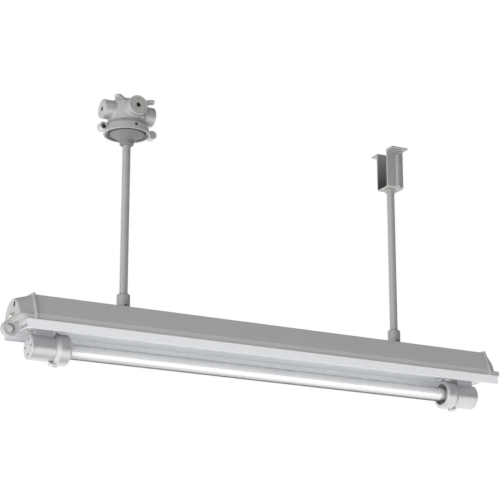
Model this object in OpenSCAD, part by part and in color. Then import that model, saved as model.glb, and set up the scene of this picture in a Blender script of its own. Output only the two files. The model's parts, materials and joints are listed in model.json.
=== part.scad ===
// Explosion-proof pendant light for one straight tube lamp.
// Origin: centre of the junction box's top face, on the axis of the left pipe.
// +X runs along the light to the right-hand pipe, +Y to the back, +Z up to the ceiling.

/* [Suspension] */
// Distance between the two hanging pipes
pipe_pitch = 800; // [600:10:1000]
// Height from the ceiling to the top of the housing
drop = 554; // [400:2:900]
// Outside diameter of the hanging pipes
pipe_d = 21; // [19:0.5:23]
// Wall of the hanging pipes
pipe_wall = 2.3; // [1.6:0.1:3]
// Outside diameter of the pipe couplings
coupling_d = 34; // [31:0.5:40]
// Height of the pipe couplings above the housing
coupling_h = 44; // [38:1:60]
// Round of the couplings' upper edge
coupling_round = 5; // [2:0.5:5]
// Diameter of the couplings' threaded spigot inside the housing
spigot_d = 24; // [20:0.5:26]
// Width across flats of the couplings' locknuts
locknut_af = 36; // [32:1:42]
// Thickness of the couplings' locknuts
locknut_h = 6; // [4:0.5:9]
// Diameter of the couplings' set screws
set_screw_d = 5; // [4:0.5:6]
// Height of the set screws above the housing
set_screw_rise = 13; // [10:0.5:20]

/* [Junction box] */
// Radius of the junction box at the ceiling
box_top_r = 43; // [40:0.5:48]
// Radius of the junction box where it meets its cover ring
box_low_r = 51; // [48:0.5:52]
// Height of the junction box body
box_h = 57.5; // [54:0.5:70]
// Wall of the junction box
box_wall = 5; // [3:0.5:6]
// Radius of the four entry hubs
hub_r = 25.5; // [22:0.5:26]
// Reach of the entry hubs from the box's axis
hub_reach = 71; // [66:0.5:80]
// Depth of the hubs' axis below the ceiling
hub_drop = 26.5; // [26:0.5:30]
// Diameter of the open threaded supply entry
entry_d = 24.2; // [23.4:0.1:26]
// Diameter of the heads of the entry plugs
plug_d = 42; // [38:0.5:43]
// Thickness of the heads of the entry plugs
plug_head_h = 3.5; // [2:0.5:5]
// Diameter of the threaded part of the entry plugs
plug_thread_d = 23; // [20:0.5:24]
// Length of the threaded part of the entry plugs
plug_thread_h = 12; // [8:0.5:14]
// Width across flats of the plugs' hexagon sockets
plug_socket_af = 11; // [8:0.5:13]
// Distance of the ceiling holes from the box's axis
lug_r = 64; // [60:0.5:72]
// Radius of the ends of the ceiling lugs
lug_end_r = 10; // [8:0.5:12]
// Thickness of the ceiling lugs
lug_h = 8; // [5:0.5:10]
// Diameter of the ceiling holes
lug_hole_d = 7.5; // [5:0.5:9]
// Height of the cover ring
ring_h = 30; // [26:0.5:36]
// Radius of the cover ring at its top edge
ring_top_r = 53.5; // [53:0.5:55]
// Radius of the cover ring at its lower edge
ring_low_r = 61; // [59:0.5:62]
// Radius of the two clamp bosses on the cover ring
boss_r = 11.5; // [10:0.5:12]
// Distance of the clamp bosses from the box's axis
boss_reach = 69; // [66:0.5:72]
// Length of the clamp bosses
boss_len = 22; // [18:0.5:26]
// Radius of the pipe flange inside the cover ring
flange_r = 50; // [48:0.5:51]
// Radius of the pipe flange's hub
flange_hub_r = 18; // [16:0.5:20]
// Height of the pipe flange's hub below the cover ring
flange_hub_h = 28; // [22:0.5:36]

/* [Hanger bracket] */
// Width of the hanger bracket along the light
bracket_w = 52; // [44:1:60]
// Outside width of the bracket's U
bracket_u = 54; // [42:1:60]
// Height of the bracket from the ceiling to the underside of its web
bracket_h = 111; // [80:1:140]
// Thickness of the bracket's strap
strap_t = 4.5; // [3:0.5:5]
// Outside radius of the bracket's two lower bends
bracket_bend_r = 7; // [5:0.5:7]
// Depth of each ceiling flange of the bracket
bracket_flange = 27; // [24:1:40]
// Diameter of the holes in the ceiling flanges
bracket_hole_d = 11; // [7:0.5:12]
// Radius of the stiffening beads on the bracket's legs
bead_r = 8; // [6:0.5:9]
// Distance of the beads from the pipe's axis
bead_x = 10; // [8:0.5:13]
// How far the beads stand out of the legs
bead_out = 5; // [3:0.5:6]
// Width across flats of the pipe nuts
pipe_nut_af = 27; // [25:0.5:28]
// Thickness of the pipe nuts
pipe_nut_h = 7; // [5:0.5:9]

/* [Housing] */
// How far the housing reaches beyond each lampholder
house_over = 6; // [4:0.5:20]
// Half the width of the housing's flat top
house_half_top = 52; // [46:1:60]
// Half the width of the housing below its bends
house_half_base = 75; // [70:1:76]
// Height of the housing's sloping sides
slope_h = 53; // [44:1:70]
// Height of the housing's upright skirt
skirt_h = 14; // [13:0.5:20]
// Thickness of the housing's sheet
house_sheet = 2; // [1.6:0.2:3]
// Outside radius of the housing's bends
house_bend_r = 5; // [3.5:0.5:8]
// Thickness of the tray that carries the ballast
tray_t = 3; // [2:0.5:4]
// Length of the ballast
ballast_len = 300; // [200:10:400]
// Width of the ballast
ballast_w = 60; // [40:2:80]
// Height of the ballast
ballast_h = 34; // [25:1:40]
// Length of each of the ballast's foot tabs
ballast_tab = 18; // [14:1:26]
// Length of the supply terminal in the housing
supply_len = 52; // [30:1:60]

/* [End boxes] */
// Thickness of the end boxes' joint flanges
rib_t = 7; // [5:0.5:10]
// How far the joint flanges stand above the housing
rib_rise = 3.5; // [2.5:0.5:6]
// How far the joint flanges stand out of the housing's sides
rib_side = 4; // [2:0.5:4]
// Radius of the end boxes' arch
arch_r = 49; // [46:0.5:52]
// Length of the end boxes' arched part
arch_len = 32; // [28:0.5:40]
// Wall of the end boxes
arch_wall = 5; // [4:0.5:8]
// Chamfer round the end boxes' outer faces
arch_chamfer = 3; // [1:0.5:4]
// Half the width of the end boxes' feet
foot_half_w = 77; // [74:0.5:79]
// Thickness of the end boxes' feet
foot_t = 12; // [9:0.5:13]
// How far the feet reach beyond the outer faces
foot_out = 2; // [1:0.5:8]
// Radius of the feet's outer corners
foot_corner_r = 16; // [8:1:20]
// Outside radius of the cast eye
eye_r = 20.5; // [18:0.5:24]
// Radius of the hole in the cast eye
eye_hole_r = 11.5; // [9:0.5:13]
// Thickness of the cast eye
eye_t = 19; // [14:0.5:24]
// Depth of the eye's hole below the feet's undersides
eye_drop = 12; // [12:0.5:15]
// Diameter of the plugs in the end boxes' outer faces
face_plug_d = 15; // [10:0.5:16]
// Height of those plugs above the housing's lower bends
face_plug_rise = 33; // [26:0.5:34]

/* [Reflector] */
// How far the reflector reaches beyond the housing at each end
refl_over = 26; // [22:0.5:34]
// Half the width of the reflector
refl_half_w = 80; // [80:1:90]
// Height of the reflector's lips
lip_h = 24; // [18:0.5:30]
// Thickness of the reflector's sheet
refl_sheet = 1.5; // [1:0.1:2]
// Outside radius of the reflector's bends
refl_bend_r = 3; // [2.5:0.5:5]
// Width of the hem turned in along each lip
hem_w = 6; // [4:0.5:10]

/* [Lampholders] */
// Depth of the lamp's axis below the reflector's underside
lamp_drop = 49.5; // [48:0.5:60]
// How far each lampholder reaches beyond the lamp
holder_over = 49; // [47:0.5:60]
// Length of each lampholder with its collar and cap
holder_len = 101; // [96:1:110]
// Radius of the lampholders
holder_r = 32; // [31.5:0.5:35]
// Radius of the lampholders' inside
holder_bore_r = 27; // [26:0.5:28]
// Length of the collars on the tube side
collar_len = 38; // [34:0.5:46]
// Radius of the collars
collar_r = 38.5; // [36:0.5:40]
// Length of the collars' conical shoulder
shoulder_len = 10; // [7:0.5:13]
// Radius of the recess in the collars' tube-side faces
recess_r = 28; // [26:0.5:31]
// Depth of the recess in the collars' tube-side faces
recess_h = 8; // [5:0.5:9]
// Bevel round the collars' tube-side edges
mouth_bevel = 4; // [1:0.5:7]
// Width across flats of the collars' lock screws
lock_head_af = 10; // [9:0.5:12]
// Thickness of the heads of the collars' lock screws
lock_head_h = 9; // [4:0.5:10]
// Thickness of the end caps' flanges
cap_flange_t = 6; // [4:0.5:8]
// Length of the end caps' threaded part
cap_thread_len = 12; // [10:0.5:14]
// Radius of the circle of the four spanner holes in each cap
spanner_r = 19.5; // [17:0.5:22]
// Diameter of the spanner holes
spanner_hole_d = 6; // [4:0.5:7]
// Length of the saddle plates on the lampholders
saddle_len = 108; // [90:1:120]
// Width of the saddle plates
saddle_w = 56; // [48:1:70]
// Thickness of the saddle plates
saddle_t = 5; // [4:0.5:6]

/* [Lamp] */
// Outside diameter of the protective glass tube
glass_d = 40; // [39:0.5:42]
// Wall of the protective glass tube
glass_wall = 2; // [1.5:0.1:2.5]
// Diameter of the lamp
lamp_d = 32.5; // [25:0.5:34]
// Length of the lamp without its pins
lamp_len = 1198; // [1050:1:1500]
// Length of the lamp's metal caps
lamp_cap_len = 16; // [10:1:22]

/* [Hidden] */
$fn = 64;

// Clearances, in millimetres
fit = 0.05; // radial gap of a screwed or running fit
seat = 0.3; // gap under a piece that rests beside another
slack = 0.5; // gap of a part put in by hand
groove = 5; // shadow gap round the pipe flange

// Levels, measured down from the ceiling
z_top = -drop;
z_bend = z_top - slope_h;
z_base = z_bend - skirt_h;
z_under = z_base - refl_sheet;
z_axis = z_under - lamp_drop;
z_ring = -box_h;
z_rim = z_ring - ring_h;
mid_x = pipe_pitch / 2;
pipe_r = pipe_d / 2;
slope_angle = atan((house_half_base - house_half_top) / slope_h);
holder_end = lamp_len / 2 + holder_over;
house_half_len = holder_end + house_over;
refl_half_len = house_half_len + refl_over;
rib_x = house_half_len + rib_t;
face_x = rib_x + arch_len;

// Places a part that is drawn with +X pointing outwards from the middle of the light
module at_end(side) {
    translate([mid_x, 0, 0])
        mirror([side < 0 ? 1 : 0, 0, 0])
            children();
}

module both_ends() {
    for (side = [-1, 1]) at_end(side) children();
}

module both_pipes() {
    for (x = [0, pipe_pitch]) translate([x, 0, 0]) children();
}

// Extrudes a section drawn across the light, Y to the right and Z up
module along_x(start, length) {
    translate([start, 0, 0])
        rotate([90, 0, 90])
            linear_extrude(length) children();
}

module rod_x(start, length, r) {
    translate([start, 0, 0]) rotate([0, 90, 0]) cylinder(h = length, r = r);
}

module rod_y(start, length, r) {
    translate([0, start, 0]) rotate([-90, 0, 0]) cylinder(h = length, r = r);
}

// A hexagonal prism that stands on +Z, given its width across flats
module hexagon(af, h) {
    cylinder(h = h, r = af / 2 / cos(30), $fn = 6);
}

function arc(cy, cz, r, from, to, steps = 5) =
    [for (i = [0:steps]) let (a = from + (to - from) * i / steps)
        [cy + r * cos(a), cz + r * sin(a)]];

// One side of a section with a flat top, a sloping side, a bend and an upright skirt
function half_section(half_top, half_base, top, bend, bottom, r) = concat(
    arc(half_top - r * tan((90 - slope_angle) / 2), top - r, r, 90, slope_angle),
    arc(half_base - r, bend - r * tan(slope_angle / 2), r, slope_angle, 0),
    [[half_base, bottom]]
);

function both_sides(half) = concat(
    half,
    [for (i = [len(half) - 1:-1:0]) [-half[i][0], half[i][1]]]
);

// Half width of the sloping side's outer face at a level
function side_at(z) = house_half_top + tan(slope_angle) * (z_top - z);

// The housing's section, moved outwards by a distance at its sides and at its top
module house_section(out_side, out_top, bottom, r) {
    shift = out_side / cos(slope_angle);
    top = z_top + out_top;
    half_base = house_half_base + out_side;
    bend = z_bend + (shift - out_side) / tan(slope_angle);
    polygon(both_sides(half_section(side_at(top) + shift, half_base, top, bend, bottom, r)));
}

module arch_section(r, bottom) {
    difference() {
        translate([0, z_bend]) circle(r);
        translate([-r, bottom - 2 * r]) square([2 * r, 2 * r]);
    }
    translate([-r, bottom]) square([2 * r, z_bend - bottom]);
}

// Junction box

module box_lugs() {
    for (a = [45:90:315]) rotate(a) {
        translate([lug_r, 0, -lug_h]) cylinder(h = lug_h, r = lug_end_r);
        translate([box_top_r - box_wall, -lug_end_r, -lug_h])
            cube([lug_r - box_top_r + box_wall, 2 * lug_end_r, lug_h]);
    }
}

module box_shell(grow) {
    rotate_extrude()
        polygon([
            [0, 0],
            [box_top_r + grow, 0],
            [box_low_r + grow, -box_h],
            [0, -box_h]
        ]);
}

// The cavity runs up from the cover ring and stops one wall below the ceiling
module box_cavity() {
    rotate_extrude()
        polygon([
            [0, -box_wall],
            [box_top_r - box_wall, -box_wall],
            [box_low_r - box_wall, -box_h - 1],
            [0, -box_h - 1]
        ]);
}

supply_side = 90;
entry_root = 44;
entry_relief = 2;
earth_angle = -60;
earth_drop = 44;
earth_pad_r = 6;
earth_screw_r = 4.5;
earth_reach = box_low_r + 2;

module at_earth() {
    rotate(earth_angle) translate([0, 0, -earth_drop]) children();
}

module junction_box() {
    color([0.72, 0.72, 0.73]) difference() {
        union() {
            box_shell(0);
            translate([0, 0, -hub_drop]) for (a = [0:90:270]) rotate(a) rod_x(0, hub_reach, hub_r);
            box_lugs();
            at_earth() rod_x(box_top_r - box_wall / 2, earth_reach - box_top_r + box_wall / 2, earth_pad_r);
        }
        box_cavity();
        translate([0, 0, -hub_drop]) for (a = [0:90:270]) rotate(a) {
            rod_x(box_top_r - 2 * box_wall, hub_reach, a == supply_side ? entry_d / 2 : plug_thread_d / 2);
            rod_x(hub_reach - plug_head_h, plug_head_h + 1, plug_d / 2 + slack);
        }
        translate([0, 0, -hub_drop]) rotate(supply_side)
            rod_x(box_top_r - 2 * box_wall, entry_root - box_top_r + 2 * box_wall, entry_d / 2 + entry_relief);
        for (a = [45:90:315]) rotate(a)
            translate([lug_r, 0, -lug_h - 1]) cylinder(h = lug_h + 2, d = lug_hole_d);
        at_earth() rod_x(earth_reach - earth_hole_depth, earth_hole_depth + 1, earth_shank_r + fit);
    }
}

// Three hubs are closed; the one at the back stays open for the supply
module entry_plugs() {
    color([0.68, 0.68, 0.68]) translate([0, 0, -hub_drop]) for (a = [0, 180, 270]) rotate(a)
        difference() {
            union() {
                rod_x(hub_reach - plug_head_h, plug_head_h, plug_d / 2);
                rod_x(hub_reach - plug_head_h - plug_thread_h, plug_thread_h, plug_thread_d / 2 - fit);
            }
            translate([hub_reach - plug_head_h - plug_thread_h / 3, 0, 0])
                rotate([0, 90, 0]) hexagon(plug_socket_af, plug_thread_h);
        }
}

earth_shank_r = 2.4;
earth_hole_depth = 6;
earth_head_h = 4;
earth_washer_h = 1.5;

module box_earth_screw() {
    color([0.8, 0.8, 0.78]) at_earth() {
        rod_x(earth_reach, earth_washer_h, earth_pad_r - fit);
        translate([earth_reach + earth_washer_h, 0, 0])
            rotate([0, 90, 0]) hexagon(2 * earth_screw_r * cos(30), earth_head_h);
        rod_x(earth_reach - earth_hole_depth + slack, earth_hole_depth, earth_shank_r);
    }
}

terminal_l = 46;
terminal_w = 22;
terminal_h = 14;
terminal_hole_r = 2.5;
terminal_pitch = 14;

// A block of three terminals on the top of the cavity
module box_terminal_block() {
    color([0.93, 0.92, 0.88]) difference() {
        translate([-terminal_l / 2, -terminal_w / 2, -box_wall - terminal_h])
            cube([terminal_l, terminal_w, terminal_h]);
        for (i = [-1:1], y = [-1, 1]) translate([i * terminal_pitch, y * terminal_w / 4, 0])
            translate([0, 0, -box_wall - terminal_h - 1])
                cylinder(h = terminal_h / 2 + 1, r = terminal_hole_r);
    }
}

// Cover ring: two clamp bosses, turned half a turn from each other
boss_drop = 19;
boss_front = 13;
boss_web_h = 18;
clamp_bore_r = 3.3;
clamp_sink_r = 6.5;
clamp_sink_h = 6;
clamp_blind = 3;
clamp_head_r = 4.7;
clamp_shank_r = 3;
lock_angle = -88;
lock_drop = 15.9;
lock_r = 4.5;
ring_bore_r = box_low_r - box_wall;

module at_bosses() {
    for (a = [0, 180]) rotate(a)
        translate([-boss_reach, 0, z_ring - boss_drop]) children();
}

module cover_ring() {
    seat_r = flange_r + groove;
    color([0.74, 0.74, 0.75]) difference() {
        union() {
            rotate_extrude()
                polygon([
                    [ring_bore_r, z_ring],
                    [ring_top_r, z_ring],
                    [ring_low_r, z_rim],
                    [ring_bore_r, z_rim]
                ]);
            at_bosses() {
                rod_y(-boss_front, boss_len, boss_r);
                translate([0, -boss_web_h / 2, -boss_web_h / 2])
                    cube([boss_reach - ring_bore_r - 2, boss_web_h, boss_web_h]);
            }
        }
        translate([0, 0, z_rim - 1]) cylinder(h = rim_h + 1, r = seat_r);
        at_bosses() {
            rod_y(-boss_front - 1, boss_len + 1 - clamp_blind, clamp_bore_r);
            rod_y(-boss_front - 1, clamp_sink_h + 1, clamp_sink_r);
        }
        rotate(lock_angle) translate([0, 0, z_ring - lock_drop])
            rod_x(ring_bore_r - 1, ring_low_r, lock_r);
    }
}

module ring_clamp_screws() {
    color([0.6, 0.6, 0.6]) at_bosses() difference() {
        union() {
            rod_y(-boss_front + clamp_sink_h - clamp_head_h, clamp_head_h, clamp_head_r);
            rod_y(-boss_front + clamp_sink_h, boss_len - clamp_sink_h - clamp_blind - slack, clamp_shank_r);
        }
        translate([0, -boss_front + clamp_sink_h - clamp_head_h - 1, 0])
            rotate([-90, 0, 0]) hexagon(clamp_socket_af, clamp_head_h / 2 + 1);
    }
}

clamp_head_h = 5;
clamp_socket_af = 5;
rim_h = 8;
lock_len = 6;

module ring_lock_screw() {
    color([0.5, 0.5, 0.5]) rotate(lock_angle) translate([0, 0, z_ring - lock_drop])
        difference() {
            rod_x(ring_bore_r + fit, lock_len, lock_r - fit);
            translate([ring_bore_r + lock_len / 2, 0, 0])
                rotate([0, 90, 0]) hexagon(lock_r, lock_len);
        }
}

// The flange screws up into the ring, and its hub holds the pipe
module pipe_flange() {
    top = z_rim + rim_h;
    flange_edge = 2;
    flange_flare = 6;
    flange_step = 3;
    hub_bead = 1;
    hub_chamfer = 2;
    cone_r = flange_hub_r + flange_flare;
    cone_z = z_rim - flange_hub_h * 0.4;
    hub_z = z_rim - flange_hub_h;
    spigot_h = 12;
    color([0.6, 0.6, 0.6]) difference() {
        rotate_extrude()
            polygon([
                [0, top],
                [flange_r, top],
                [flange_r, top - flange_edge],
                [cone_r, cone_z],
                [flange_hub_r + hub_bead, cone_z - flange_step],
                [flange_hub_r, hub_z + hub_chamfer],
                [flange_hub_r - hub_chamfer, hub_z],
                [0, hub_z]
            ]);
        translate([0, 0, hub_z - 1]) cylinder(h = flange_hub_h + rim_h + 2, r = pipe_r + fit);
    }
    color([0.6, 0.6, 0.6]) translate([0, 0, top - flange_edge]) difference() {
        cylinder(h = spigot_h + flange_edge, r = ring_bore_r - fit);
        translate([0, 0, -1]) cylinder(h = spigot_h + flange_edge + 2, r = ring_bore_r - box_wall);
    }
}

// Pipes and couplings

module pipe(top, bottom) {
    color([0.68, 0.68, 0.67]) translate([0, 0, bottom]) difference() {
        cylinder(h = top - bottom, r = pipe_r);
        translate([0, 0, -1]) cylinder(h = top - bottom + 2, r = pipe_r - pipe_wall);
    }
}

pipe_seat = 4;
pipe_foot_z = z_top + pipe_seat;

module left_pipe() {
    pipe(z_rim + rim_h, pipe_foot_z);
}

module right_pipe() {
    translate([pipe_pitch, 0, 0]) pipe(right_pipe_top, pipe_foot_z);
}

function coupling_profile() = concat(
    [[pipe_r + fit, z_top + coupling_h]],
    arc(coupling_d / 2 - coupling_round, z_top + coupling_h - coupling_round, coupling_round, 90, 0),
    [
        [coupling_d / 2, z_top],
        [spigot_d / 2, z_top],
        [spigot_d / 2, z_top - spigot_len],
        [wire_r, z_top - spigot_len],
        [wire_r, pipe_foot_z],
        [pipe_r + fit, pipe_foot_z]
    ]
);

spigot_len = 10;
wire_r = 7;

module coupling() {
    color([0.7, 0.7, 0.69]) difference() {
        rotate_extrude() polygon(coupling_profile());
        translate([0, 0, z_top + set_screw_rise])
            rod_y(-coupling_d, coupling_d, set_screw_d / 2 + fit);
    }
}

module left_coupling() {
    coupling();
}

module right_coupling() {
    translate([pipe_pitch, 0, 0]) coupling();
}

module coupling_set_screws() {
    head = coupling_d / 2 - slack;
    socket_depth = 2.5;
    color([0.4, 0.4, 0.4]) both_pipes() translate([0, 0, z_top + set_screw_rise])
        difference() {
            rod_y(-head, head - pipe_r - fit, set_screw_d / 2);
            translate([0, -head - 1, 0]) rotate([-90, 0, 0]) hexagon(set_screw_d / 2, socket_depth);
        }
}

module coupling_locknuts() {
    color([0.75, 0.74, 0.7]) both_pipes() difference() {
        translate([0, 0, z_top - house_sheet - locknut_h]) hexagon(locknut_af, locknut_h);
        translate([0, 0, z_top - house_sheet - locknut_h - 1])
            cylinder(h = locknut_h + 2, r = spigot_d / 2 + fit);
    }
}

// Hanger bracket: a bent strap with two ceiling flanges and a bead on each leg

web_top = -bracket_h + strap_t;
pipe_end_rise = 4;
right_pipe_top = web_top + pipe_nut_h + pipe_end_rise;
flange_hole_y = bracket_u / 2 + bracket_flange / 2;
bead_top = -12;

module rounded_box_section(half_w, top, bottom, r) {
    translate([-half_w, bottom + r]) square([2 * half_w, top - bottom - r]);
    translate([-half_w + r, bottom]) square([2 * (half_w - r), r]);
    for (side = [-1, 1]) translate([side * (half_w - r), bottom + r]) circle(r);
}

module bracket_hollow() {
    half_in = bracket_u / 2 - strap_t;
    rounded_box_section(half_in, 1, web_top, bracket_bend_r - strap_t);
}

module hanger_bracket() {
    color([0.66, 0.66, 0.66]) translate([pipe_pitch, 0, 0]) difference() {
        union() {
            along_x(-bracket_w / 2, bracket_w) {
                rounded_box_section(bracket_u / 2, 0, -bracket_h, bracket_bend_r);
                translate([-bracket_u / 2 - bracket_flange, -strap_t])
                    square([bracket_u + 2 * bracket_flange, strap_t]);
            }
            for (side = [-1, 1])
                translate([bead_x, side * (bracket_u / 2 + bead_out - bead_r), -bracket_h + bead_r]) {
                    cylinder(h = bracket_h - bead_r + bead_top, r = bead_r);
                    sphere(r = bead_r);
                }
        }
        along_x(-bracket_w, 2 * bracket_w) bracket_hollow();
        translate([0, 0, -bracket_h - bead_r]) cylinder(h = bracket_h, r = pipe_r + fit);
        for (side = [-1, 1]) translate([0, side * flange_hole_y, -strap_t - 1])
            cylinder(h = strap_t + 2, d = bracket_hole_d);
    }
}

module pipe_nuts() {
    color([0.6, 0.6, 0.6]) translate([pipe_pitch, 0, 0])
        for (z = [web_top, -bracket_h - pipe_nut_h]) translate([0, 0, z]) difference() {
            hexagon(pipe_nut_af, pipe_nut_h);
            translate([0, 0, -1]) cylinder(h = pipe_nut_h + 2, r = pipe_r + fit);
        }
}

// Housing and what it holds

module housing() {
    color([0.61, 0.61, 0.6]) difference() {
        along_x(mid_x - house_half_len, 2 * house_half_len) difference() {
            house_section(0, 0, z_base, house_bend_r);
            house_section(-house_sheet, -house_sheet, z_base - 1, house_bend_r - house_sheet);
        }
        both_pipes() translate([0, 0, z_top - house_sheet - 1])
            cylinder(h = house_sheet + 2, r = spigot_d / 2 + fit);
    }
}

tray_end_gap = 2;
tray_z = z_base + seat;
saddle_screw_r = 3;
saddle_hole_r = 3.3;
screw_in = 15;
screw_in_y = 9;

// Places one copy at each corner of each saddle plate
module at_saddle_screws() {
    for (x = [-1, 1], y = [-1, 1])
        translate([
            holder_end + saddle_over - saddle_len / 2 + x * (saddle_len / 2 - screw_in),
            y * (saddle_w / 2 - screw_in_y),
            0
        ]) children();
}

module ballast_tray() {
    half_w = house_half_base - house_sheet - seat;
    half_len = house_half_len - tray_end_gap;
    color([0.75, 0.75, 0.72]) difference() {
        translate([mid_x - half_len, -half_w, tray_z]) cube([2 * half_len, 2 * half_w, tray_t]);
        both_ends() at_saddle_screws()
            translate([0, 0, tray_z - 1]) cylinder(h = tray_t + 2, r = saddle_hole_r);
        at_ballast_screws() translate([0, 0, tray_z - 1]) cylinder(h = tray_t + 2, r = tray_screw_r + fit);
    }
}

tab_t = 3;
tray_screw_r = 2.4;
tray_screw_head_r = 4.5;
tray_screw_head_h = 3;

module at_ballast_screws() {
    for (x = [-1, 1], y = [-1, 1])
        translate([mid_x + x * (ballast_len / 2 + ballast_tab / 2), y * ballast_w / 4, 0]) children();
}

module ballast() {
    z = tray_z + tray_t;
    full = ballast_len + 2 * ballast_tab;
    color([0.85, 0.85, 0.83]) difference() {
        union() {
            translate([mid_x - ballast_len / 2, -ballast_w / 2, z])
                cube([ballast_len, ballast_w, ballast_h]);
            translate([mid_x - full / 2, -ballast_w / 2, z]) cube([full, ballast_w, tab_t]);
        }
        at_ballast_screws() translate([0, 0, z - 1]) cylinder(h = tab_t + 2, r = tray_screw_r + fit);
    }
}

module ballast_screws() {
    z = tray_z + tray_t + tab_t;
    color([0.8, 0.8, 0.78]) at_ballast_screws() {
        translate([0, 0, z]) cylinder(h = tray_screw_head_h, r = tray_screw_head_r);
        translate([0, 0, tray_z]) cylinder(h = z - tray_z, r = tray_screw_r);
    }
}

// Stands on the tray between the left pipe and the ballast
module supply_terminal() {
    supply_w = 26;
    supply_h = 18;
    supply_gap = 40;
    supply_x = mid_x - ballast_len / 2 - ballast_tab - supply_len - supply_gap;
    color([0.93, 0.92, 0.88]) difference() {
        translate([supply_x, -supply_w / 2, tray_z + tray_t]) cube([supply_len, supply_w, supply_h]);
        for (i = [1:3], y = [-1, 1])
            translate([supply_x + i * supply_len / 4, y * supply_w / 4, tray_z + tray_t + supply_h / 2])
                cylinder(h = supply_h, r = terminal_hole_r);
    }
}

// End boxes

foot_x = face_x + foot_out;
refl_screw_in = 8;
refl_screw_x = refl_half_len - refl_screw_in;
refl_screw_y = 62;
refl_screw_r = 2.5;
refl_screw_len = 9;
face_plug_y = 15;
face_plug_z = z_bend + face_plug_rise;
face_plug_h = 8;
eye_in = 18.5;
eye_x = foot_x + eye_r - eye_in;
hood_side = 1.5;
hood_rise = -3.5;
eye_z = z_base - eye_drop;
eye_pad_r = 9;
eye_pad_t = 5;
eye_pad_y = -15;
eye_pad_z = z_bend + 2;
face_plug_sink = 1;

module foot_plan() {
    w = foot_half_w;
    r = foot_corner_r;
    translate([house_half_len, -w]) square([foot_x - house_half_len - r, 2 * w]);
    translate([house_half_len, -w + r]) square([foot_x - house_half_len, 2 * (w - r)]);
    for (side = [-1, 1]) translate([foot_x - r, side * (w - r)]) circle(r);
}

// The hood runs from the housing's section to the arch of the outer face
module end_box_form() {
    along_x(house_half_len, rib_t)
        house_section(rib_side, rib_rise, z_base, house_bend_r);
    translate([0, 0, z_base]) linear_extrude(foot_t) foot_plan();
    hull() {
        along_x(rib_x - 1, 1) house_section(hood_side, hood_rise, z_base, house_bend_r);
        along_x(face_x - arch_chamfer - 1, 1) arch_section(arch_r, z_base, $fn = 72);
    }
    difference() {
        translate([face_x - arch_chamfer, 0, z_bend]) rotate([0, 90, 0])
            cylinder(h = arch_chamfer, r1 = arch_r, r2 = arch_r - arch_chamfer);
        translate([rib_x, -arch_r, z_base - arch_r]) cube([arch_len + 1, 2 * arch_r, arch_r]);
    }
}

// Hollow for the wires, open towards the housing
module end_box_hollow() {
    along_x(house_half_len - 1, rib_t + arch_len - arch_wall + 1)
        arch_section(arch_r - arch_wall, z_base + foot_t / 2);
}

module face_plug_seat(r, h) {
    translate([0, -face_plug_y, face_plug_z]) rod_x(face_x - h, h + 1, r);
}

module reflector_screw_holes() {
    for (side = [-1, 1]) translate([refl_screw_x, side * refl_screw_y, z_base - 1])
        cylinder(h = refl_screw_len + 1, r = refl_screw_r + fit);
}

// A hollow plug boss keeps the thread of the face plug inside the box
module end_box_body() {
    difference() {
        union() {
            difference() {
                end_box_form();
                end_box_hollow();
            }
            intersection() {
                face_plug_seat(face_plug_d / 2 + 3, face_plug_h + face_plug_sink + 2);
                along_x(rib_x, arch_len) arch_section(arch_r - 1, z_base);
            }
        }
        face_plug_seat(face_plug_d / 2, face_plug_h + face_plug_sink);
        reflector_screw_holes();
    }
}

module left_end_box() {
    color([0.76, 0.76, 0.75]) at_end(-1) difference() {
        union() {
            end_box_body();
            translate([eye_x, 0, eye_z]) rod_y(-eye_t / 2, eye_t, eye_r);
            translate([face_x - 1, eye_pad_y - eye_pad_r, z_base])
                cube([eye_pad_t + 1, 2 * eye_pad_r, eye_pad_z - z_base]);
            translate([0, eye_pad_y, eye_pad_z]) rod_x(face_x - 1, eye_pad_t + 1, eye_pad_r);
        }
        translate([eye_x, 0, eye_z]) rod_y(-eye_t, 2 * eye_t, eye_hole_r);
    }
}

module right_end_box() {
    color([0.76, 0.76, 0.75]) at_end(1) end_box_body();
}

module face_plugs() {
    color([0.45, 0.45, 0.45]) both_ends() translate([0, -face_plug_y, face_plug_z]) difference() {
        rod_x(face_x - face_plug_h - face_plug_sink, face_plug_h, face_plug_d / 2 - fit);
        translate([face_x - face_plug_h / 2 - face_plug_sink, 0, 0])
            rotate([0, 90, 0]) hexagon(face_plug_d / 2, face_plug_h);
    }
}

// A domed nut on the pad above the cast eye
module eye_pad_nut() {
    nut_r = 6.5;
    dome_r = 7;
    color([0.8, 0.78, 0.77]) at_end(-1) translate([0, eye_pad_y, eye_pad_z]) intersection() {
        rod_x(face_x + eye_pad_t, 2 * nut_r, nut_r);
        translate([face_x + eye_pad_t, 0, 0]) sphere(r = dome_r);
    }
}

// Reflector

lip_root = refl_half_w - refl_bend_r;

module reflector() {
    color([0.88, 0.88, 0.9]) difference() {
        translate([mid_x - refl_half_len, -lip_root, z_under])
            cube([2 * refl_half_len, 2 * lip_root, refl_sheet]);
        both_ends() at_saddle_screws()
            translate([0, 0, z_under - 1]) cylinder(h = refl_sheet + 2, r = saddle_hole_r);
        both_ends() for (side = [-1, 1])
            translate([refl_screw_x, side * refl_screw_y, z_under - 1])
                cylinder(h = refl_sheet + 2, r = refl_screw_r + fit);
    }
}

// A lip turns down from the sheet's edge and ends in a hem
module lip(side) {
    bottom = z_base - lip_h;
    half = concat(
        arc(lip_root, z_base - refl_bend_r, refl_bend_r, 90, 0),
        [
            [refl_half_w, bottom],
            [refl_half_w - hem_w, bottom],
            [refl_half_w - hem_w, bottom + refl_sheet],
            [refl_half_w - refl_sheet, bottom + refl_sheet]
        ],
        arc(lip_root, z_base - refl_bend_r, refl_bend_r - refl_sheet, 0, 90)
    );
    color([0.88, 0.88, 0.9]) along_x(mid_x - refl_half_len, 2 * refl_half_len)
        polygon([for (p = half) [side * p[0], p[1]]]);
}

module front_lip() {
    lip(-1);
}

module back_lip() {
    lip(1);
}

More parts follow.
